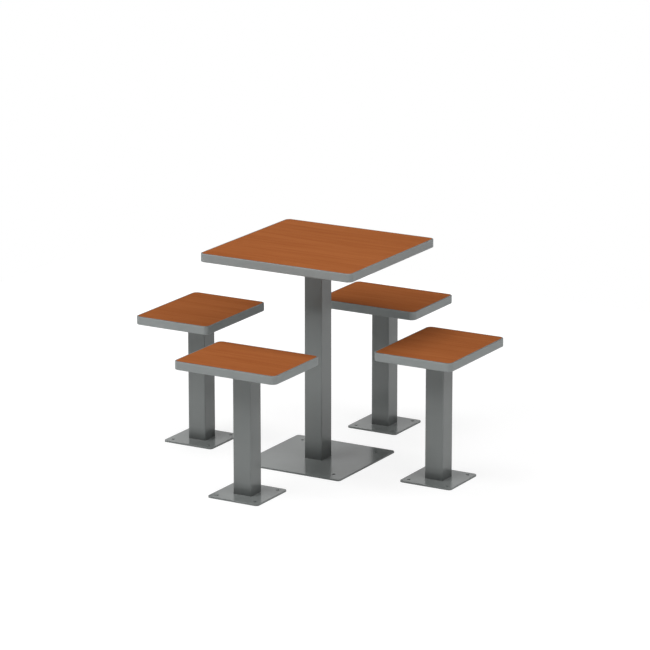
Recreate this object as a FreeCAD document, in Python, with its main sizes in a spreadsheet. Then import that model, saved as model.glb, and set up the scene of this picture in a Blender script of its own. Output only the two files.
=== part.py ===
import FreeCAD, Part
import math
import os
import Sketcher

# A square pedestal table with four swivel stools, one at each side.
# Millimetres, +Z up, origin on the floor under the middle of the table.
# The front stool stands towards -Y and the right stool towards +X.

Vector = FreeCAD.Vector
upright = Vector(0, 0, 1)
doc = FreeCAD.newDocument("table_with_swivel_stools")

# The driving dimensions, one cell of the sheet for each
dimensions = {
    # the boards and where they stand
    "table_side": 600,
    "table_height": 770,
    "seat_width": 400,
    "seat_depth": 300,
    "seat_height": 480,
    "stool_distance": 480,
    # the make of every board
    "board_thickness": 30,
    "laminate_thickness": 1,
    "backer_thickness": 1,
    "core_corner_radius": 15,
    "edge_thickness": 5,
    "edge_rounding": 2.5,
    "tongue_thickness": 3,
    "tongue_depth": 7,
    "slot_clearance": 0.2,
    # the square tube of the posts
    "post_side": 70,
    "post_wall": 3,
    "post_inner_radius": 1,
    # the floor plates and their bolt holes
    "floor_plate_thickness": 6,
    "floor_plate_corner": 12,
    "floor_plate_chamfer": 0.6,
    "table_plate_side": 400,
    "table_bolt_margin": 50,
    "stool_plate_side": 200,
    "stool_bolt_margin": 25,
    "bolt_hole_diameter": 12,
    # the plates under the boards
    "head_plate_side": 300,
    "head_plate_thickness": 6,
    "seat_plate_side": 160,
    "seat_plate_thickness": 5,
    "board_plate_corner": 10,
    "screw_margin": 18,
    "plate_hole_clearance": 0.4,
    # the wood screws from those plates into the cores
    "screw_diameter": 6,
    "screw_bite": 18,
    "screw_tip": 4,
    "screw_head_diameter": 12,
    "screw_head_height": 4,
    "screw_head_bevel": 1.5,
    "screw_socket_radius": 2.5,
    "screw_socket_depth": 2,
    "pilot_clearance": 0.1,
    # the spindle of each seat
    "spindle_diameter": 30,
    "spigot_diameter": 24,
    "spigot_clearance": 0.1,
    "collar_height": 6,
    "spindle_tail": 8,
    # the bushes that it turns in
    "running_clearance": 0.05,
    "thrust_clearance": 0.1,
    "bush_wall": 3,
    "bush_length": 30,
    "flange_width": 5,
    "flange_thickness": 3,
    # the housing that holds the bushes in the post
    "bush_seat_clearance": 0.02,
    "boss_wall": 6,
    "housing_length": 120,
    "cap_thickness": 8,
    "plug_height": 24,
    "plug_clearance": 0.2,
    # the button-head screws that hold the plug in the post
    "button_diameter": 6,
    "button_bite": 8,
    "button_head_diameter": 10.5,
    "button_head_height": 3.3,
    "button_head_bevel": 1.4,
    "button_socket_radius": 2.3,
    "button_socket_depth": 1.9,
    # the retaining ring at the foot of the spindle
    "ring_thickness": 2,
    "ring_width": 5,
    "ring_gap": 8,
    "groove_depth": 1.2,
    "groove_clearance": 0.1,
    # how far a cut runs past what it cuts
    "overrun": 2,
}
sheet = doc.addObject("Spreadsheet::Sheet", "dims")
for row, (alias, value) in enumerate(dimensions.items(), start=1):
    cell = "A%d" % row
    sheet.set(cell, str(value))
    sheet.setAlias(cell, alias)
doc.recompute()


class Size:
    """A length worked out from the sheet: its formula for a binding, and its value for a first sketch"""

    def __init__(self, formula, value):
        self.formula = formula
        self.value = value

    def join(self, sign, other, value):
        return Size("(%s %s %s)" % (self.formula, sign, other.formula), value)

    def __add__(self, other):
        return self.join("+", other, self.value + other.value)

    def __sub__(self, other):
        return self.join("-", other, self.value - other.value)

    def __mul__(self, share):
        return Size("(%s * %.9g)" % (self.formula, share), self.value * share)

    __rmul__ = __mul__

    def __truediv__(self, count):
        return self * (1 / count)


def sized(alias):
    return Size("dims." + alias, sheet.get(alias))


nothing = Size("0", 0)


# Sketches, each with every size bound to the sheet

def sketch_on(body, role, lift=nothing):
    sketch = body.newObject("Sketcher::SketchObject", "sketch")
    plane = next(item for item in body.Origin.OriginFeatures if item.Role == role)
    sketch.AttachmentSupport = (plane, [""])
    sketch.MapMode = "FlatFace"
    sketch.setExpression("AttachmentOffset.Base.z", lift.formula)
    return sketch


def bind(sketch, size, kind, *ends):
    number = sketch.addConstraint(Sketcher.Constraint(kind, *ends, size.value))
    sketch.setExpression("Constraints[%d]" % number, size.formula)


def fix_point(sketch, line, end, x, y):
    origin = (-1, 1)
    for kind, size, axis in (("DistanceX", x, -2), ("DistanceY", y, -1)):
        if size.value == 0:
            sketch.addConstraint(Sketcher.Constraint("PointOnObject", line, end, axis))
        else:
            bind(sketch, size, kind, *origin, line, end)


def draw_polygon(sketch, points):
    first = sketch.GeometryCount
    corners = [Vector(x.value, y.value, 0) for x, y in points]
    for start, end in zip(corners, corners[1:] + corners[:1]):
        sketch.addGeometry(Part.LineSegment(start, end))
    count = len(points)
    for number, (x, y) in enumerate(points):
        following = first + (number + 1) % count
        sketch.addConstraint(Sketcher.Constraint("Coincident", first + number, 2, following, 1))
        fix_point(sketch, first + number, 1, x, y)


def draw_circle(sketch, radius, x=nothing, y=nothing):
    number = sketch.addGeometry(Part.Circle(Vector(x.value, y.value, 0), upright, radius.value))
    fix_point(sketch, number, 3, x, y)
    bind(sketch, radius, "Radius", number)


def draw_rounded(sketch, width, depth, radius):
    # four corner arcs, anticlockwise from the lower right, each followed by the side after it
    first = sketch.GeometryCount
    reach_x = width.value / 2
    reach_y = depth.value / 2
    inset = radius.value
    signs = ((1, -1), (1, 1), (-1, 1), (-1, -1))
    for number, (right, up) in enumerate(signs):
        centre = Vector(right * (reach_x - inset), up * (reach_y - inset), 0)
        start = math.pi / 2 * (number - 1)
        corner = Part.Circle(centre, upright, inset)
        arc = Part.ArcOfCircle(corner, start, start + math.pi / 2)
        sketch.addGeometry(arc)
        next_right, next_up = signs[(number + 1) % 4]
        next_centre = Vector(next_right * (reach_x - inset), next_up * (reach_y - inset), 0)
        outward = arc.EndPoint - centre
        sketch.addGeometry(Part.LineSegment(arc.EndPoint, next_centre + outward))
    for number in range(4):
        arc = first + 2 * number
        side = arc + 1
        next_arc = first + (2 * number + 2) % 8
        sketch.addConstraint(Sketcher.Constraint("Tangent", arc, 2, side, 1))
        sketch.addConstraint(Sketcher.Constraint("Tangent", side, 2, next_arc, 1))
        sketch.addConstraint(Sketcher.Constraint("Horizontal" if number % 2 else "Vertical", side))
        if number:
            sketch.addConstraint(Sketcher.Constraint("Equal", first, arc))
    right_side, top_side, left_side, bottom_side = range(first + 1, first + 9, 2)
    sketch.addConstraint(Sketcher.Constraint("Symmetric", first, 3, first + 4, 3, -1, 1))
    bind(sketch, radius, "Radius", first)
    bind(sketch, width, "DistanceX", left_side, 1, right_side, 1)
    bind(sketch, depth, "DistanceY", bottom_side, 1, top_side, 1)


# Features of a body

def make_body(node):
    body = doc.addObject("PartDesign::Body", node)
    body.Label = node
    body.AllowCompound = True
    return body


def pad(body, sketch, length):
    feature = body.newObject("PartDesign::Pad", "pad")
    feature.Profile = sketch
    feature.setExpression("Length", length.formula)
    return feature


def pocket(body, sketch, depth, upwards=False):
    feature = body.newObject("PartDesign::Pocket", "pocket")
    feature.Profile = sketch
    feature.setExpression("Length", depth.formula)
    feature.Reversed = upwards
    return feature


def revolve(body, sketch, axis="V_Axis"):
    feature = body.newObject("PartDesign::Revolution", "revolution")
    feature.Profile = sketch
    feature.ReferenceAxis = (sketch, [axis])
    feature.Angle = 360
    return feature


def repeat_round(body, features, count):
    pattern = body.newObject("PartDesign::PolarPattern", "pattern")
    pattern.Originals = features
    axis = next(item for item in body.Origin.OriginFeatures if item.Role == "Z_Axis")
    pattern.Axis = (axis, [""])
    pattern.Angle = 360
    pattern.Occurrences = count
    body.Tip = pattern


def flat_faces(feature, directions):
    """The names of the flat faces that look straight up (1) or straight down (-1)"""
    doc.recompute()
    names = []
    for number, face in enumerate(feature.Shape.Faces, start=1):
        if isinstance(face.Surface, Part.Plane) and round(face.normalAt(0, 0).z) in directions:
            names.append("Face%d" % number)
    return names


def dress(body, kind, feature, directions, **sizes):
    """A PartDesign Fillet or Chamfer round the flat faces that look in the given directions"""
    dressing = body.newObject("PartDesign::" + kind, kind.lower())
    dressing.Base = (feature, flat_faces(feature, directions))
    for name, size in sizes.items():
        dressing.setExpression(name, size.formula)
    return dressing


# Each stool is drawn about its own axis, turned by its side of the table and moved out to its place
quarter_turn = 90
stations = {"front": (0, -1), "right": (1, 0), "back": (0, 1), "left": (-1, 0)}


def place(body, height, side=None):
    if side:
        across, along = stations[side]
        turn = quarter_turn * list(stations).index(side)
        body.Placement = FreeCAD.Placement(Vector(), FreeCAD.Rotation(upright, turn))
        body.setExpression("Placement.Base.x", (sized("stool_distance") * across).formula)
        body.setExpression("Placement.Base.y", (sized("stool_distance") * along).formula)
    body.setExpression("Placement.Base.z", height.formula)


def square_corners(spacing):
    reach = spacing / 2
    return [(reach * across, reach * along) for across in (-1, 1) for along in (-1, 1)]


def side_middles(spacing):
    reach = spacing / 2
    return [(reach * across, reach * along) for across, along in stations.values()]


# Floor plates: flat steel with four bolt holes and a broken upper edge

def make_floor_plate(name, plate_side, bolt_margin, side=None):
    body = make_body(name + "_floor_plate")
    thickness = sized("floor_plate_thickness")
    outline = sketch_on(body, "XY_Plane")
    draw_rounded(outline, plate_side, plate_side, sized("floor_plate_corner"))
    slab = pad(body, outline, thickness)
    dress(body, "Chamfer", slab, (1,), Size=sized("floor_plate_chamfer"))
    holes = sketch_on(body, "XY_Plane")
    for x, y in square_corners(plate_side - 2 * bolt_margin):
        draw_circle(holes, sized("bolt_hole_diameter") / 2, x, y)
    pocket(body, holes, thickness + sized("overrun"), upwards=True)
    place(body, nothing, side)
    return body


# Posts: square tube that stands on the floor plate

post_inside = sized("post_side") - 2 * sized("post_wall")
post_outer_radius = sized("post_inner_radius") + sized("post_wall")


def make_post(name, length, side=None):
    body = make_body(name + "_post")
    section = sketch_on(body, "XY_Plane")
    draw_rounded(section, sized("post_side"), sized("post_side"), post_outer_radius)
    draw_rounded(section, post_inside, post_inside, sized("post_inner_radius"))
    pad(body, section, length)
    place(body, sized("floor_plate_thickness"), side)
    return body


# Boards: backing sheet, core, laminate and edge moulding, drawn up from the board's underside

edge_thickness = sized("edge_thickness")
core_radius = sized("core_corner_radius")
core_base = sized("backer_thickness")
core_thickness = sized("board_thickness") - sized("backer_thickness") - sized("laminate_thickness")
slot_thickness = sized("tongue_thickness") + 2 * sized("slot_clearance")
slot_depth = sized("tongue_depth") + sized("slot_clearance")
screw_radius = sized("screw_diameter") / 2
plate_hole_radius = screw_radius + sized("plate_hole_clearance")
pilot_radius = screw_radius + sized("pilot_clearance")
pilot_depth = sized("screw_bite") + sized("pilot_clearance") - core_base


def make_core(name, width, depth, screw_places):
    body = make_body(name + "_core")
    outline = sketch_on(body, "XY_Plane")
    draw_rounded(outline, width, depth, core_radius)
    pad(body, outline, core_thickness)
    slot = sketch_on(body, "XY_Plane", core_thickness / 2 + slot_thickness / 2)
    past = 2 * sized("overrun")
    draw_rounded(slot, width + past, depth + past, core_radius + sized("overrun"))
    draw_rounded(slot, width - 2 * slot_depth, depth - 2 * slot_depth, core_radius - slot_depth)
    pocket(body, slot, slot_thickness)
    pilots = sketch_on(body, "XY_Plane")
    for x, y in screw_places:
        draw_circle(pilots, pilot_radius, x, y)
    pocket(body, pilots, pilot_depth, upwards=True)
    return body


def make_sheet(node, width, depth, thickness, holes=()):
    body = make_body(node)
    outline = sketch_on(body, "XY_Plane")
    draw_rounded(outline, width, depth, core_radius)
    for x, y in holes:
        draw_circle(outline, plate_hole_radius, x, y)
    pad(body, outline, thickness)
    return body


def make_edge(name, width, depth):
    body = make_body(name + "_edge")
    outline = sketch_on(body, "XY_Plane")
    draw_rounded(outline, width, depth, core_radius + edge_thickness)
    block = pad(body, outline, sized("board_thickness"))
    dress(body, "Fillet", block, (1, -1), Radius=sized("edge_rounding"))
    inner_width = width - 2 * edge_thickness
    inner_depth = depth - 2 * edge_thickness
    hollow = sketch_on(body, "XY_Plane")
    draw_rounded(hollow, inner_width, inner_depth, core_radius)
    pocket(body, hollow, sized("board_thickness") + sized("overrun"), upwards=True)
    tongue_base = core_base + core_thickness / 2 - sized("tongue_thickness") / 2
    tongue = sketch_on(body, "XY_Plane", tongue_base)
    reach = sized("tongue_depth")
    draw_rounded(tongue, inner_width, inner_depth, core_radius)
    draw_rounded(tongue, inner_width - 2 * reach, inner_depth - 2 * reach, core_radius - reach)
    pad(body, tongue, sized("tongue_thickness"))
    return body


def make_board(name, width, depth, height, screw_places, side=None):
    """All the layers of one board, with its upper face at the given height"""
    core_width = width - 2 * edge_thickness
    core_depth = depth - 2 * edge_thickness
    underside = height - sized("board_thickness")
    core_top = underside + core_base + core_thickness
    backer = make_sheet(name + "_backer", core_width, core_depth, core_base, screw_places)
    core = make_core(name, core_width, core_depth, screw_places)
    laminate = make_sheet(name + "_laminate", core_width, core_depth, sized("laminate_thickness"))
    edge = make_edge(name, width, depth)
    place(backer, underside, side)
    place(core, underside + core_base, side)
    place(laminate, core_top, side)
    place(edge, underside, side)
    return [backer, core, laminate, edge]


# Plates under the boards, and the wood screws that hold the boards on them

def make_board_plate(node, plate_side, thickness, screw_places, height, side=None, bore=None):
    body = make_body(node)
    outline = sketch_on(body, "XY_Plane")
    draw_rounded(outline, plate_side, plate_side, sized("board_plate_corner"))
    for x, y in screw_places:
        draw_circle(outline, plate_hole_radius, x, y)
    if bore:
        draw_circle(outline, bore)
    pad(body, outline, thickness)
    place(body, height, side)
    return body


def hexagon(radius, x, y):
    angles = [math.pi / 3 * number for number in range(6)]
    return [(x + radius * math.cos(angle), y + radius * math.sin(angle)) for angle in angles]


def add_wood_screw(body, x, y, plate_thickness):
    # head down, so that z = 0 is the lower face of the head
    head_radius = sized("screw_head_diameter") / 2
    head_height = sized("screw_head_height")
    bevel = sized("screw_head_bevel")
    end = head_height + plate_thickness + sized("screw_bite")
    profile = sketch_on(body, "XZ_Plane", nothing - y)
    draw_polygon(profile, [
        (x, nothing),
        (x + head_radius - bevel, nothing),
        (x + head_radius, bevel),
        (x + head_radius, head_height),
        (x + screw_radius, head_height),
        (x + screw_radius, end - sized("screw_tip")),
        (x, end),
    ])
    profile.addGeometry(Part.LineSegment(Vector(x.value, 0, 0), Vector(x.value, end.value, 0)), True)
    axis = profile.GeometryCount - 1
    fix_point(profile, axis, 1, x, nothing)
    fix_point(profile, axis, 2, x, end)
    shank = revolve(body, profile, "Axis0")
    socket = sketch_on(body, "XY_Plane")
    draw_polygon(socket, hexagon(sized("screw_socket_radius"), x, y))
    recess = pocket(body, socket, sized("screw_socket_depth"), upwards=True)
    return [shank, recess]


def make_wood_screws(name, plate_thickness, underside, seeds, side=None):
    body = make_body(name + "_screws")
    features = []
    for x, y in seeds:
        features += add_wood_screw(body, x, y, plate_thickness)
    repeat_round(body, features, 4)
    place(body, underside - plate_thickness - sized("screw_head_height"), side)
    return body


# The table: one post on its floor plate, and a head plate that carries the board

def make_table():
    plate_side = sized("head_plate_side")
    plate_thickness = sized("head_plate_thickness")
    underside = sized("table_height") - sized("board_thickness")
    plate_base = underside - plate_thickness
    spacing = plate_side - 2 * sized("screw_margin")
    corners = square_corners(spacing)
    middles = side_middles(spacing)
    places = corners + middles
    seeds = [corners[0], middles[0]]
    return [
        make_floor_plate("table", sized("table_plate_side"), sized("table_bolt_margin")),
        make_post("table", plate_base - sized("floor_plate_thickness")),
        make_board_plate("table_head_plate", plate_side, plate_thickness, places, plate_base),
        make_wood_screws("table", plate_thickness, underside, seeds),
        *make_board("table", sized("table_side"), sized("table_side"), sized("table_height"), places),
    ]


# The swivel under each seat, from the seat's underside down

seat_underside = sized("seat_height") - sized("board_thickness")
seat_plate_base = seat_underside - sized("seat_plate_thickness")
collar_base = seat_plate_base - sized("collar_height")
cap_top = collar_base - sized("thrust_clearance") - sized("flange_thickness")
stool_post_top = cap_top - sized("cap_thickness")
housing_base = cap_top - sized("housing_length")
ring_base = (housing_base - sized("flange_thickness") - sized("thrust_clearance")
             - sized("ring_thickness"))
spindle_base = ring_base - sized("spindle_tail")
button_height = stool_post_top - sized("plug_height") / 2

spindle_radius = sized("spindle_diameter") / 2
bush_bore = spindle_radius + sized("running_clearance")
bush_radius = bush_bore + sized("bush_wall")
flange_radius = bush_radius + sized("flange_width")
housing_bore = bush_radius + sized("bush_seat_clearance")
boss_radius = housing_bore + sized("boss_wall")
groove_radius = spindle_radius - sized("groove_depth")
button_radius = sized("button_diameter") / 2


def make_swivel_housing(side):
    # a cap on the post's end, a plug in the tube and a long boss with the bore for the bushes
    body = make_body(side + "_swivel_housing")
    length = sized("housing_length")
    plug_top = length - sized("cap_thickness")
    plug_side = post_inside - 2 * sized("plug_clearance")
    cap = sketch_on(body, "XY_Plane", plug_top)
    draw_rounded(cap, sized("post_side"), sized("post_side"), post_outer_radius)
    draw_circle(cap, housing_bore)
    pad(body, cap, sized("cap_thickness"))
    plug = sketch_on(body, "XY_Plane", plug_top - sized("plug_height"))
    draw_rounded(plug, plug_side, plug_side, sized("post_inner_radius") + sized("plug_clearance"))
    draw_circle(plug, housing_bore)
    pad(body, plug, sized("plug_height"))
    boss = sketch_on(body, "XY_Plane")
    draw_circle(boss, boss_radius)
    draw_circle(boss, housing_bore)
    pad(body, boss, plug_top)
    tapped = sketch_on(body, "YZ_Plane", plug_side / 2)
    draw_circle(tapped, button_radius + sized("pilot_clearance"), y=plug_top - sized("plug_height") / 2)
    hole = pocket(body, tapped, sized("button_bite"))
    repeat_round(body, [hole], 2)
    place(body, housing_base, side)
    return body


def make_housing_screws(side):
    # two button heads on opposite sides of the post, drawn about the screws' own height
    body = make_body(side + "_housing_screws")
    wall_face = sized("post_side") / 2
    head_end = wall_face + sized("button_head_height")
    head_radius = sized("button_head_diameter") / 2
    bevel = sized("button_head_bevel")
    tip = post_inside / 2 - sized("button_bite")
    profile = sketch_on(body, "XZ_Plane")
    draw_polygon(profile, [
        (tip, nothing),
        (tip, button_radius),
        (wall_face, button_radius),
        (wall_face, head_radius),
        (head_end - bevel, head_radius),
        (head_end, head_radius - bevel),
        (head_end, nothing),
    ])
    screw = revolve(body, profile, "H_Axis")
    socket = sketch_on(body, "YZ_Plane", head_end)
    draw_polygon(socket, hexagon(sized("button_socket_radius"), nothing, nothing))
    recess = pocket(body, socket, sized("button_socket_depth"))
    repeat_round(body, [screw, recess], 2)
    place(body, button_height, side)
    return body


def make_bushes(side):
    # one flanged bush pressed in at each end of the housing's bore
    body = make_body(side + "_bushes")
    flange = sized("flange_thickness")
    lower_end = flange + sized("bush_length")
    upper_end = flange + sized("housing_length")
    section = sketch_on(body, "XZ_Plane")
    draw_polygon(section, [
        (bush_bore, nothing),
        (flange_radius, nothing),
        (flange_radius, flange),
        (bush_radius, flange),
        (bush_radius, lower_end),
        (bush_bore, lower_end),
    ])
    draw_polygon(section, [
        (bush_bore, upper_end + flange),
        (flange_radius, upper_end + flange),
        (flange_radius, upper_end),
        (bush_radius, upper_end),
        (bush_radius, upper_end - sized("bush_length")),
        (bush_bore, upper_end - sized("bush_length")),
    ])
    revolve(body, section)
    place(body, housing_base - flange, side)
    return body


def make_spindle(side):
    # turned bar: tail, ring groove, journal, collar, and the spigot that is welded into the seat plate
    body = make_body(side + "_spindle")
    groove_base = ring_base - spindle_base - sized("groove_clearance")
    groove_top = ring_base - spindle_base + sized("ring_thickness") + sized("groove_clearance")
    collar = collar_base - spindle_base
    spigot_base = seat_plate_base - spindle_base
    top = seat_underside - spindle_base
    spigot_radius = sized("spigot_diameter") / 2
    section = sketch_on(body, "XZ_Plane")
    draw_polygon(section, [
        (nothing, nothing),
        (spindle_radius, nothing),
        (spindle_radius, groove_base),
        (groove_radius, groove_base),
        (groove_radius, groove_top),
        (spindle_radius, groove_top),
        (spindle_radius, collar),
        (flange_radius, collar),
        (flange_radius, spigot_base),
        (spigot_radius, spigot_base),
        (spigot_radius, top),
        (nothing, top),
    ])
    revolve(body, section)
    place(body, spindle_base, side)
    return body


def make_retaining_ring(side):
    # an open spring ring in the spindle's groove
    body = make_body(side + "_retaining_ring")
    outer = spindle_radius + sized("ring_width")
    half_gap = sized("ring_gap") / 2
    end = outer + sized("overrun")
    section = sketch_on(body, "XY_Plane")
    draw_circle(section, outer)
    draw_circle(section, groove_radius + sized("groove_clearance"))
    pad(body, section, sized("ring_thickness"))
    opening = sketch_on(body, "XY_Plane")
    draw_polygon(opening, [
        (nothing - half_gap, nothing),
        (half_gap, nothing),
        (half_gap, end),
        (nothing - half_gap, end),
    ])
    pocket(body, opening, sized("ring_thickness") + sized("overrun"), upwards=True)
    place(body, ring_base, side)
    return body


def make_stool(side):
    plate_thickness = sized("seat_plate_thickness")
    places = square_corners(sized("seat_plate_side") - 2 * sized("screw_margin"))
    post = make_post(side, stool_post_top - sized("floor_plate_thickness"), side)
    screw_holes = sketch_on(post, "YZ_Plane", sized("post_side") / 2)
    screw_height = button_height - sized("floor_plate_thickness")
    draw_circle(screw_holes, button_radius + sized("plate_hole_clearance"), y=screw_height)
    pocket(post, screw_holes, sized("post_side"))
    bore = sized("spigot_diameter") / 2 + sized("spigot_clearance")
    plate_values = (sized("seat_plate_side"), plate_thickness, places, seat_plate_base, side, bore)
    seat_values = (sized("seat_width"), sized("seat_depth"), sized("seat_height"), places, side)
    return [
        make_floor_plate(side, sized("stool_plate_side"), sized("stool_bolt_margin"), side),
        post,
        make_swivel_housing(side),
        make_housing_screws(side),
        make_bushes(side),
        make_spindle(side),
        make_retaining_ring(side),
        make_board_plate(side + "_seat_plate", *plate_values),
        make_wood_screws(side + "_seat", plate_thickness, seat_underside, places[:1], side),
        *make_board(side + "_seat", *seat_values),
    ]


pieces = make_table()
for side in stations:
    pieces += make_stool(side)
doc.recompute()

# Nothing is written unless every feature worked and every cut took something away
for item in doc.Objects:
    if "Invalid" in item.State or "Error" in item.State:
        raise RuntimeError("%s of %s did not recompute" % (item.Name, item.Label))
    if item.TypeId == "PartDesign::Pocket" and item.Shape.Volume >= item.BaseFeature.Shape.Volume:
        raise RuntimeError("%s cuts nothing" % item.Name)
for piece in pieces:
    if piece.Shape.isNull() or not piece.Shape.isValid():
        raise RuntimeError("%s has no valid shape" % piece.Label)

os.makedirs("parts", exist_ok=True)
for piece in pieces:
    piece.Shape.exportStep("parts/%s.step" % piece.Label)
print("%d pieces written" % len(pieces))
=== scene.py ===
import bpy
import math
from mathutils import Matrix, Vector


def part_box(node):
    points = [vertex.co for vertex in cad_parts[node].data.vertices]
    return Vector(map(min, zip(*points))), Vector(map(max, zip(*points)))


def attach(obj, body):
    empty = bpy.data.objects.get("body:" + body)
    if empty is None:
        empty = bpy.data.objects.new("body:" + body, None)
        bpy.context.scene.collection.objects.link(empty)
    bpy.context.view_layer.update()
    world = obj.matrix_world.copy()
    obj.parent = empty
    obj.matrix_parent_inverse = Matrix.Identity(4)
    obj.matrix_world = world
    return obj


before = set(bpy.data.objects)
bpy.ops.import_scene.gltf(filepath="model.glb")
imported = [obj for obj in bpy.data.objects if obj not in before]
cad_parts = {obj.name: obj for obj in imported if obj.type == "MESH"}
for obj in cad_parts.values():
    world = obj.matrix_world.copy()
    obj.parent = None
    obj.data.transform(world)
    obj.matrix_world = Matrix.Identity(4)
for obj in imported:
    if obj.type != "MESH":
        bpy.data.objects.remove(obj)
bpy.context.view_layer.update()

# Floor plates and posts: flat steel plate drilled for floor bolts, and square steel tube.
# They are welded together, cleaned and sprayed with grey gloss paint, with a faint orange peel.
# Shoes and mops have taken some gloss off the plates. Each post is darkened towards its foot in soft
# patches: painted shade, where the plate shades the post.
sides = ("front", "right", "back", "left")
stands = ("table",) + sides
paint_grey = (0.262, 0.280, 0.275)
paint_shades = (0.92, 1.08)
paint_cloud = 0.16
paint_roughness = (0.16, 0.24)
paint_wear_cloud = paint_cloud / 3
paint_peel = 0.0024
paint_peel_depth = 0.000012
plate_gloss = 0.23
plate_foot_shade = 0
post_gloss = 0.42
post_foot_shade = 0.5
# The painted shade at the foot of each post: the height over which it fades out, its patch size and
# its range of strength.
foot_shade_reach = (0.006, 0.052)
foot_shade_cloud = paint_cloud / 8
foot_shade_shares = (0.8, 1.2)


class Strand:
    """One output among a finish's nodes. Arithmetic on strands adds Math nodes"""

    def __init__(self, socket):
        self.socket = socket

    def node(self, kind, settings, inputs, output=0):
        """A new node: its settings are set first, then its inputs, as values or as strands"""
        tree = self.socket.id_data
        made = tree.nodes.new(kind)
        for name, value in settings.items():
            setattr(made, name, value)
        for name, value in inputs.items():
            if isinstance(value, Strand):
                tree.links.new(value.socket, made.inputs[name])
            else:
                made.inputs[name].default_value = value
        return Strand(made.outputs[output]) if made.outputs else None

    def math(self, operation, *values):
        """A Math node on these values or strands, in their order"""
        return self.node("ShaderNodeMath", {"operation": operation}, dict(enumerate(values)))

    def __add__(self, other):
        return self.math("ADD", self, other)

    def __radd__(self, other):
        return self.math("ADD", other, self)

    def __sub__(self, other):
        return self.math("SUBTRACT", self, other)

    def __rsub__(self, other):
        return self.math("SUBTRACT", other, self)

    def __mul__(self, other):
        return self.math("MULTIPLY", self, other)

    def __rmul__(self, other):
        return self.math("MULTIPLY", other, self)

    def vector_math(self, operation, other):
        """A Vector Math node on this and the other vector"""
        return self.node("ShaderNodeVectorMath", {"operation": operation}, {0: self, 1: other})

    def clouds(self, size, detail=2):
        """Soft spots from 0 to 1, as large as the given metres, or as long along each of X, Y and Z"""
        spots = size if isinstance(size, tuple) else (size, size, size)
        place = self.vector_math("DIVIDE", spots)
        return place.node("ShaderNodeTexNoise", {}, {"Vector": place, "Scale": 1, "Detail": detail})

    def ramp(self, low, high):
        """0 at the low value and below, 1 at the high value and above"""
        return self.node("ShaderNodeMapRange", {}, {"Value": self, "From Min": low, "From Max": high})

    def between(self, low, high):
        """The low value where this is 0, the high value where it is 1"""
        return low + (high - low) * self

    def blend(self, first, second):
        """The first colour where this is 0, the second where it is 1"""
        # A Mix node takes its two colours as inputs 6 and 7, and gives the mixed colour as output 2
        return self.node("ShaderNodeMix", {"data_type": "RGBA"}, {0: self, 6: first, 7: second}, 2)

    def shade(self, colour):
        """The colour, made lighter or darker by this value"""
        return self.node("ShaderNodeVectorMath", {"operation": "SCALE"}, {0: colour, "Scale": self})

    def relief(self, depth):
        """The normal of a surface that this value raises by up to the depth, in metres"""
        return self.node("ShaderNodeBump", {}, {"Height": self, "Distance": depth})

    def surface(self, inputs):
        """Ends the finish in a surface with these inputs"""
        shader = self.node("ShaderNodeBsdfPrincipled", {}, inputs)
        self.node("ShaderNodeOutputMaterial", {}, {"Surface": shader})


def new_finish(name):
    """A material, and the strand that holds each point's place in the part's own frame"""
    material = bpy.data.materials.new(name)
    material.use_nodes = True
    material.node_tree.nodes.clear()
    coordinates = material.node_tree.nodes.new("ShaderNodeTexCoord")
    return material, Strand(coordinates.outputs["Object"])


def dress(material, *names):
    """Puts the material on every surface of the named pieces"""
    for name in names:
        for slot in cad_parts[name].material_slots:
            slot.material = material


def paint_finish(name, gloss, foot_shade):
    material, spot = new_finish(name)
    height = spot.node("ShaderNodeSeparateXYZ", {}, {0: spot}, "Z")
    # Painted shade: the post gets darker towards its foot, in soft patches, where the plate shades it.
    shaded_foot = (1 - height.ramp(*foot_shade_reach)) * spot.clouds(foot_shade_cloud, detail=3).between(*foot_shade_shares)
    lightness = spot.clouds(paint_cloud, detail=3).between(*paint_shades) * (1 - foot_shade * shaded_foot)
    spot.surface({
        "Base Color": lightness.shade(paint_grey),
        "Roughness": spot.clouds(paint_wear_cloud).between(*paint_roughness),
        "Specular IOR Level": gloss,
        "Normal": spot.clouds(paint_peel, detail=1).relief(paint_peel_depth),
    })
    return material


plate_paint = paint_finish("plate_paint", plate_gloss, plate_foot_shade)
post_paint = paint_finish("post_paint", post_gloss, post_foot_shade)
for stand in stands:
    dress(plate_paint, stand + "_floor_plate")
    dress(post_paint, stand + "_post")

# Foot welds: a fillet weld right round the foot of each post, ground hollow and fine under the paint.
# A like one runs round the top of the table's post, where the head plate is welded on.
post_corner = 0.004
weld_leg = 0.001
weld_sink = 0.0003
weld_steps = 4
weld_crease = math.radians(40)
weld_ripple = 0.0024
weld_ripple_share = 0.06
points_per_ripple = 6
quarter_turn = math.radians(90)


def rounded_square(low, high, corner, spacing):
    """Points round an upright post's outline, each with the direction that faces away from the post"""
    middle = (low + high) / 2
    flat_x = (high.x - low.x) / 2 - corner
    flat_y = (high.y - low.y) / 2 - corner
    ring = []
    for quarter in range(4):
        turn = quarter_turn * quarter
        across = flat_x if quarter % 2 == 0 else flat_y
        along = flat_y if quarter % 2 == 0 else flat_x
        facing = Vector((math.cos(turn), math.sin(turn), 0))
        sideways = Vector((-facing.y, facing.x, 0))
        flat_steps = round(2 * along / spacing)
        for step in range(flat_steps):
            reach = along * (2 * step / flat_steps - 1)
            ring.append((middle + facing * (across + corner) + sideways * reach, facing))
        corner_steps = round(corner * quarter_turn / spacing)
        centre = middle + facing * across + sideways * along
        for step in range(corner_steps):
            bend = quarter_turn * step / corner_steps
            outward = facing * math.cos(bend) + sideways * math.sin(bend)
            ring.append((centre + outward * corner, outward))
    return ring


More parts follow.
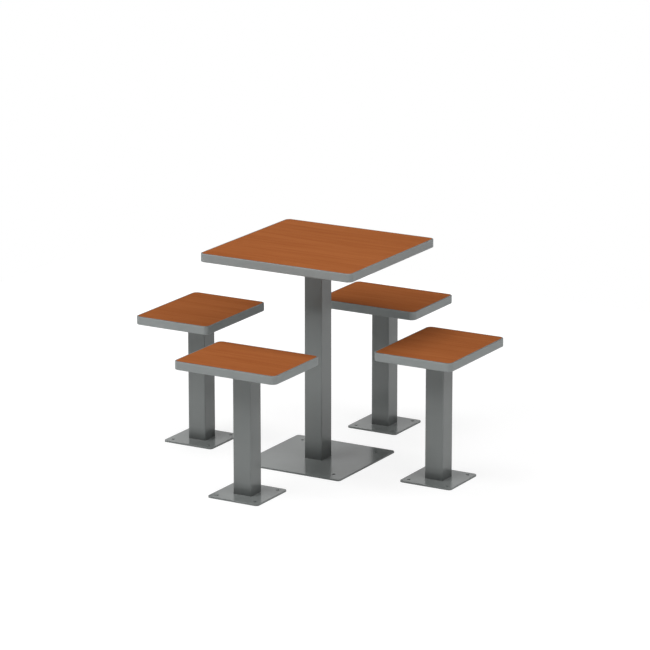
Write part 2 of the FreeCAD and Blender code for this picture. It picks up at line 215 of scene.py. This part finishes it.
def lay_weld(name, post, height, up):
    """A bead round the post's outline at the given height, which climbs up or down the post"""
    ring = rounded_square(*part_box(post), post_corner, weld_ripple / points_per_ripple)
    profile = [(-weld_sink, -weld_sink), (weld_leg, -weld_sink)]
    for step in range(weld_steps + 1):
        bend = quarter_turn * step / weld_steps
        profile.append((weld_leg * (1 - math.sin(bend)), weld_leg * (1 - math.cos(bend))))
    profile.append((-weld_sink, weld_leg))
    count = len(ring)
    width = len(profile)
    ripples = round(count / points_per_ripple)
    corners = []
    for number, (point, outward) in enumerate(ring):
        phase = number * ripples / count % 1
        swell = 1 + weld_ripple_share * (1 - 2 * (2 * phase - 1) ** 2)
        for out, rise in profile:
            spread = swell if out > 0 or rise > 0 else 1
            corner = point + outward * out * spread
            corners.append((corner.x, corner.y, height + up * rise * spread))
    faces = []
    for number in range(count):
        here = number * width
        there = (number + 1) % count * width
        for edge in range(width):
            after = (edge + 1) % width
            face = (here + edge, there + edge, there + after, here + after)
            faces.append(face if up < 0 else face[::-1])
    mesh = bpy.data.meshes.new(name)
    mesh.from_pydata(corners, [], faces)
    mesh.shade_smooth()
    mesh.set_sharp_from_angle(angle=weld_crease)
    mesh.materials.append(post_paint)
    bead = bpy.data.objects.new(name, mesh)
    bpy.context.scene.collection.objects.link(bead)
    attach(bead, "pedestals")


for stand in stands:
    plate_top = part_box(stand + "_floor_plate")[1].z
    lay_weld(stand + "_foot_weld", stand + "_post", plate_top, 1)
post_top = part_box("table_post")[1].z
lay_weld("table_head_weld", "table_post", post_top, -1)

# Swivels: a housing of cast aluminium, dropped into the top of each stool's post and screwed there.
# A turned steel spindle runs in two nylon bushes pressed into the housing.
# A spring steel ring in the spindle's groove keeps it from lifting out.
cast_silver = (0.55, 0.55, 0.56)
cast_shades = (0.85, 1.15)
cast_roughness = (0.38, 0.63)
cast_grain = 0.0016
cast_depth = 0.00008
nylon_cream = (0.70, 0.66, 0.56)
nylon_shades = (0.9, 1.1)
nylon_roughness = (0.4, 0.6)
nylon_mottle = 0.006
steel_silver = (0.50, 0.50, 0.50)
steel_shades = (0.8, 1.2)
steel_roughness = (0.2, 0.4)
tool_mark_run = (10, 10, 0.0005)
tool_mark_depth = 0.000006

cast_metal, spot = new_finish("cast_metal")
casting = spot.clouds(cast_grain, detail=4)
spot.surface({
    "Base Color": casting.between(*cast_shades).shade(cast_silver),
    "Metallic": 1,
    "Roughness": casting.between(*cast_roughness),
    "Normal": casting.relief(cast_depth),
})
bush_nylon, spot = new_finish("bush_nylon")
mottle = spot.clouds(nylon_mottle, detail=3)
spot.surface({
    "Base Color": mottle.between(*nylon_shades).shade(nylon_cream),
    "Roughness": mottle.between(*nylon_roughness),
})
turned_steel, spot = new_finish("turned_steel")
tooling = spot.clouds(tool_mark_run)
spot.surface({
    "Base Color": tooling.between(*steel_shades).shade(steel_silver),
    "Metallic": 1,
    "Roughness": tooling.between(*steel_roughness),
    "Normal": tooling.relief(tool_mark_depth),
})
for side in sides:
    dress(cast_metal, side + "_swivel_housing")
    dress(bush_nylon, side + "_bushes")
    dress(turned_steel, side + "_spindle", side + "_retaining_ring")

# Plates under the boards: flat steel, drilled for wood screws and painted like the posts.
# The table's plate is welded on its post, and each seat's plate on its spindle.
dress(post_paint, "table_head_plate")
for side in sides:
    dress(post_paint, side + "_seat_plate")

# Cores and backing sheets: particle board of pressed chips, with a plain sheet glued under it.
# The sheet balances the laminate on top, so that the board stays flat.
chip_pale = (0.52, 0.37, 0.22, 1)
chip_dark = (0.30, 0.18, 0.09, 1)
chip_size = 0.004
chip_run = (chip_size, chip_size, chip_size / 4)
chip_contrast = (0.35, 0.65)
chip_depth = chip_size / 20
core_roughness = 0.85
backing_grey = (0.30, 0.30, 0.29)
backing_darkest = 0.8
backing_roughness = (0.5, 0.7)
backing_speck = 0.0011
backing_speck_share = 0.2
backing_speck_depth = backing_speck / 40
backing_cloud = 0.09
backing_cloud_share = 0.2

core_board, spot = new_finish("core_board")
chips = spot.clouds(chip_run, detail=3)
spot.surface({
    "Base Color": chips.ramp(*chip_contrast).blend(chip_dark, chip_pale),
    "Roughness": core_roughness,
    "Normal": chips.relief(chip_depth),
})
backing_sheet, spot = new_finish("backing_sheet")
specks = spot.clouds(backing_speck)
cloudiness = spot.clouds(backing_cloud, detail=3)
lightness = backing_darkest + backing_speck_share * specks + backing_cloud_share * cloudiness
spot.surface({
    "Base Color": lightness.shade(backing_grey),
    "Roughness": specks.between(*backing_roughness),
    "Normal": specks.relief(backing_speck_depth),
})
boards = ("table",) + tuple(side + "_seat" for side in sides)
for board in boards:
    dress(core_board, board + "_core")
    dress(backing_sheet, board + "_backer")

# Edge mouldings: grey T-shaped strip, extruded in satin plastic with a fine grain.
# Its tongue is tapped into the slot round the core, and its two ends meet at the back.
# Its top is trimmed level with the laminate, which leaves that narrow band dull. The band is also
# darkened with painted shade, so that its lit top doesn't read lighter than the moulding's face.
moulding_grey = (0.374, 0.399, 0.396)
moulding_darkest = 0.9
moulding_roughness = (0.38, 0.52)
moulding_gloss = 0.4
moulding_grain = 0.0009
moulding_grain_share = 0.08
moulding_grain_depth = 0.00002
moulding_cloud = 0.05
moulding_cloud_share = 0.12
seam_reach = (0.0003, 0.0006)
seam_shade = 0.6
trim_start = 0.0014
trim_full = 0.00035
trim_painted_shade = 0.64
trim_dullness = 0.42


def moulding_finish(board):
    low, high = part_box(board + "_edge")
    middle = (low + high) / 2
    material, spot = new_finish(board + "_moulding")
    x, y, z = (spot.node("ShaderNodeSeparateXYZ", {}, {0: spot}, axis) for axis in "XYZ")
    offset = x - middle.x
    beside = offset.math("ABSOLUTE", offset).ramp(*seam_reach)
    seam = (1 - beside) * y.math("GREATER_THAN", y, middle.y)
    trimmed = z.ramp(high.z - trim_start, high.z - trim_full)
    grain = spot.clouds(moulding_grain)
    cloudiness = spot.clouds(moulding_cloud, detail=3)
    mottle = moulding_darkest + moulding_grain_share * grain + moulding_cloud_share * cloudiness
    # The darkening of the trimmed band is painted shade, against the extra light that its top catches
    # from above.
    lightness = mottle * (1 - seam_shade * seam) * (1 - trim_painted_shade * trimmed)
    spot.surface({
        "Base Color": lightness.shade(moulding_grey),
        "Roughness": grain.between(*moulding_roughness) + trim_dullness * trimmed,
        "Specular IOR Level": moulding_gloss,
        "Normal": (grain - seam).relief(moulding_grain_depth),
    })
    return material


for board in boards:
    dress(moulding_finish(board), board + "_edge")

# Laminates: a printed cherry grain under clear resin, glued on the core and trimmed flush.
# The grain runs along X on every board, and each board is cut from another part of the sheet.
cherry_pale = (0.385, 0.1285, 0.0405, 1)
cherry_dark = (0.258, 0.0707, 0.0197, 1)
cherry_middle = 0.5
figure_run = (0.42, 0.024, 1)
figure_swing = 0.45
streak_run = (0.16, 0.0042, 1)
streak_swing = 0.4
streak_roughness = 0.125
fibre_run = (0.06, 0.0009, 1)
fibre_swing = 0.25
pore_run = (0.009, 0.00045, 1)
pore_contrast = (0.62, 0.74)
pore_shade = 0.16
pore_roughness = 0.12
pore_depth = 0.00002
wander_run = (0.35, 0.16, 1)
wander_reach = 0.009
sheet_step = (3.7, 1.9, 0)
laminate_roughness = 0.52
laminate_gloss = 0.001


def laminate_finish(board):
    material, spot = new_finish(board + "_laminate_face")
    number = boards.index(board)
    sheet = spot.vector_math("ADD", tuple(number * step for step in sheet_step))
    wander = sheet.clouds(wander_run, detail=1).between(-wander_reach, wander_reach)
    drift = wander.node("ShaderNodeCombineXYZ", {}, {"Y": wander})
    grain = sheet.vector_math("ADD", drift)
    figure = grain.clouds(figure_run, detail=3).between(-figure_swing, figure_swing)
    streaks = grain.clouds(streak_run, detail=3).between(-streak_swing, streak_swing)
    fibres = grain.clouds(fibre_run).between(-fibre_swing, fibre_swing)
    tone = cherry_middle + figure + streaks + fibres
    pores = grain.clouds(pore_run, detail=1).ramp(*pore_contrast)
    wood = tone.blend(cherry_dark, cherry_pale)
    spot.surface({
        "Base Color": (1 - pore_shade * pores).shade(wood),
        "Roughness": laminate_roughness + pore_roughness * pores + streak_roughness * streaks,
        "Specular IOR Level": laminate_gloss,
        "Normal": (0 - pores).relief(pore_depth),
    })
    return material


for board in boards:
    dress(laminate_finish(board), board + "_laminate")

# Screws: zinc plated steel, wood screws up through the plates into the cores.
# Two button heads hold each swivel housing in its post.
zinc_silver = (0.60, 0.60, 0.58)
zinc_shades = (0.8, 1.2)
zinc_roughness = (0.25, 0.5)
zinc_mottle = 0.0025

zinc_fasteners, spot = new_finish("zinc_fasteners")
mottle = spot.clouds(zinc_mottle, detail=3)
spot.surface({
    "Base Color": mottle.between(*zinc_shades).shade(zinc_silver),
    "Metallic": 1,
    "Roughness": mottle.between(*zinc_roughness),
})
for board in boards:
    dress(zinc_fasteners, board + "_screws")
for side in sides:
    dress(zinc_fasteners, side + "_housing_screws")

# Studio: a plain white floor that keeps a soft shadow, white surroundings and large soft lamps.
# The floor is clear from below, so that the undersides can be looked at.
# The camera stands where the photograph was taken from, with a long lens.
floor_reach = 2.4
floor_glow = 0.84
floor_rim = (1.2, 2.2)
floor_shadow_share = 0.26
floor_bounce = 0.8
sky_level = 0.01
lamp_aim = Vector((0, 0, 0.4))
lamp_distance = 5
lamp_side = 2.4
lamps = {
    # name: azimuth and elevation in degrees, watts
    "front_lamp": (-15, 45, 60),
    "left_lamp": (-45, 45, 59),
    "right_lamp": (75, 45, 64),
    "left_top_lamp": (-90, 75, 96),
    "right_top_lamp": (90, 75, 40),
}
view_azimuth = 30
view_elevation = 15
view_distance = 13.0956
view_point = Vector((-0.1921, 0.3813, 0.3713))
view_lens = 201.25
view_far = 100


def grey(level):
    return (level, level, level, 1)


def seen_from(azimuth, elevation):
    """The direction towards something at these degrees, round from the front to the right, and up"""
    turn = math.radians(azimuth)
    climb = math.radians(elevation)
    level = math.cos(climb)
    return Vector((math.sin(turn) * level, -math.cos(turn) * level, math.sin(climb)))


def white_to_the_eye(strand):
    """1 for what the camera sees straight on, in a reflection or through something clear, else 0"""
    ways = ("Is Camera Ray", "Is Glossy Ray", "Is Transmission Ray", "Diffuse Depth")
    eye, gloss, clear, scattered = (strand.node("ShaderNodeLightPath", {}, {}, way) for way in ways)
    return eye.math("MAXIMUM", eye, gloss.math("MAXIMUM", gloss, clear)) * (1 - scattered.ramp(0, 1))


mesh = bpy.data.meshes.new("floor")
floor_corners = [(-floor_reach, -floor_reach, 0), (floor_reach, -floor_reach, 0),
                 (floor_reach, floor_reach, 0), (-floor_reach, floor_reach, 0)]
mesh.from_pydata(floor_corners, [], [(0, 1, 2, 3)])
floor = bpy.data.objects.new("floor", mesh)
bpy.context.scene.collection.objects.link(floor)
floor_finish, spot = new_finish("floor_finish")
away = spot.node("ShaderNodeVectorMath", {"operation": "LENGTH"}, {0: spot}, "Value")
brightness = away.ramp(*floor_rim).between(floor_glow, 1)
glow = spot.node("ShaderNodeEmission", {}, {"Color": brightness.shade((1, 1, 1))})
shadowed = spot.node("ShaderNodeBsdfDiffuse", {}, {"Color": grey(floor_shadow_share)})
white = spot.node("ShaderNodeAddShader", {}, {0: glow, 1: shadowed})
bounce = spot.node("ShaderNodeBsdfDiffuse", {}, {"Color": grey(floor_bounce)})
top_side = spot.node("ShaderNodeMixShader", {}, {0: white_to_the_eye(spot), 1: bounce, 2: white})
below = spot.node("ShaderNodeNewGeometry", {}, {}, "Backfacing")
clear = spot.node("ShaderNodeBsdfTransparent", {}, {})
one_sided = spot.node("ShaderNodeMixShader", {}, {0: below, 1: top_side, 2: clear})
spot.node("ShaderNodeOutputMaterial", {}, {"Surface": one_sided})
mesh.materials.append(floor_finish)

world = bpy.data.worlds.new("studio")
bpy.context.scene.world = world
world.use_nodes = True
world.node_tree.nodes.clear()
path = world.node_tree.nodes.new("ShaderNodeLightPath")
spot = Strand(path.outputs["Is Camera Ray"])
sky_strength = white_to_the_eye(spot).between(sky_level, 1)
sky = spot.node("ShaderNodeBackground", {}, {"Color": grey(1), "Strength": sky_strength})
spot.node("ShaderNodeOutputWorld", {}, {"Surface": sky})

for name, (azimuth, elevation, watts) in lamps.items():
    towards = seen_from(azimuth, elevation)
    light = bpy.data.lights.new(name, "AREA")
    light.shape = "SQUARE"
    light.size = lamp_side
    light.energy = watts
    lamp = bpy.data.objects.new(name, light)
    lamp.location = lamp_aim + towards * lamp_distance
    lamp.rotation_mode = "QUATERNION"
    lamp.rotation_quaternion = towards.to_track_quat("Z", "Y")
    bpy.context.scene.collection.objects.link(lamp)

optics = bpy.data.cameras.new("camera")
optics.lens = view_lens
optics.clip_end = view_far
camera = bpy.data.objects.new("camera", optics)
towards = seen_from(view_azimuth, view_elevation)
camera.location = view_point + towards * view_distance
camera.rotation_mode = "QUATERNION"
camera.rotation_quaternion = (-towards).to_track_quat("-Z", "Y")
bpy.context.scene.collection.objects.link(camera)
bpy.context.scene.camera = camera
bpy.context.scene.view_settings.view_transform = "Standard"
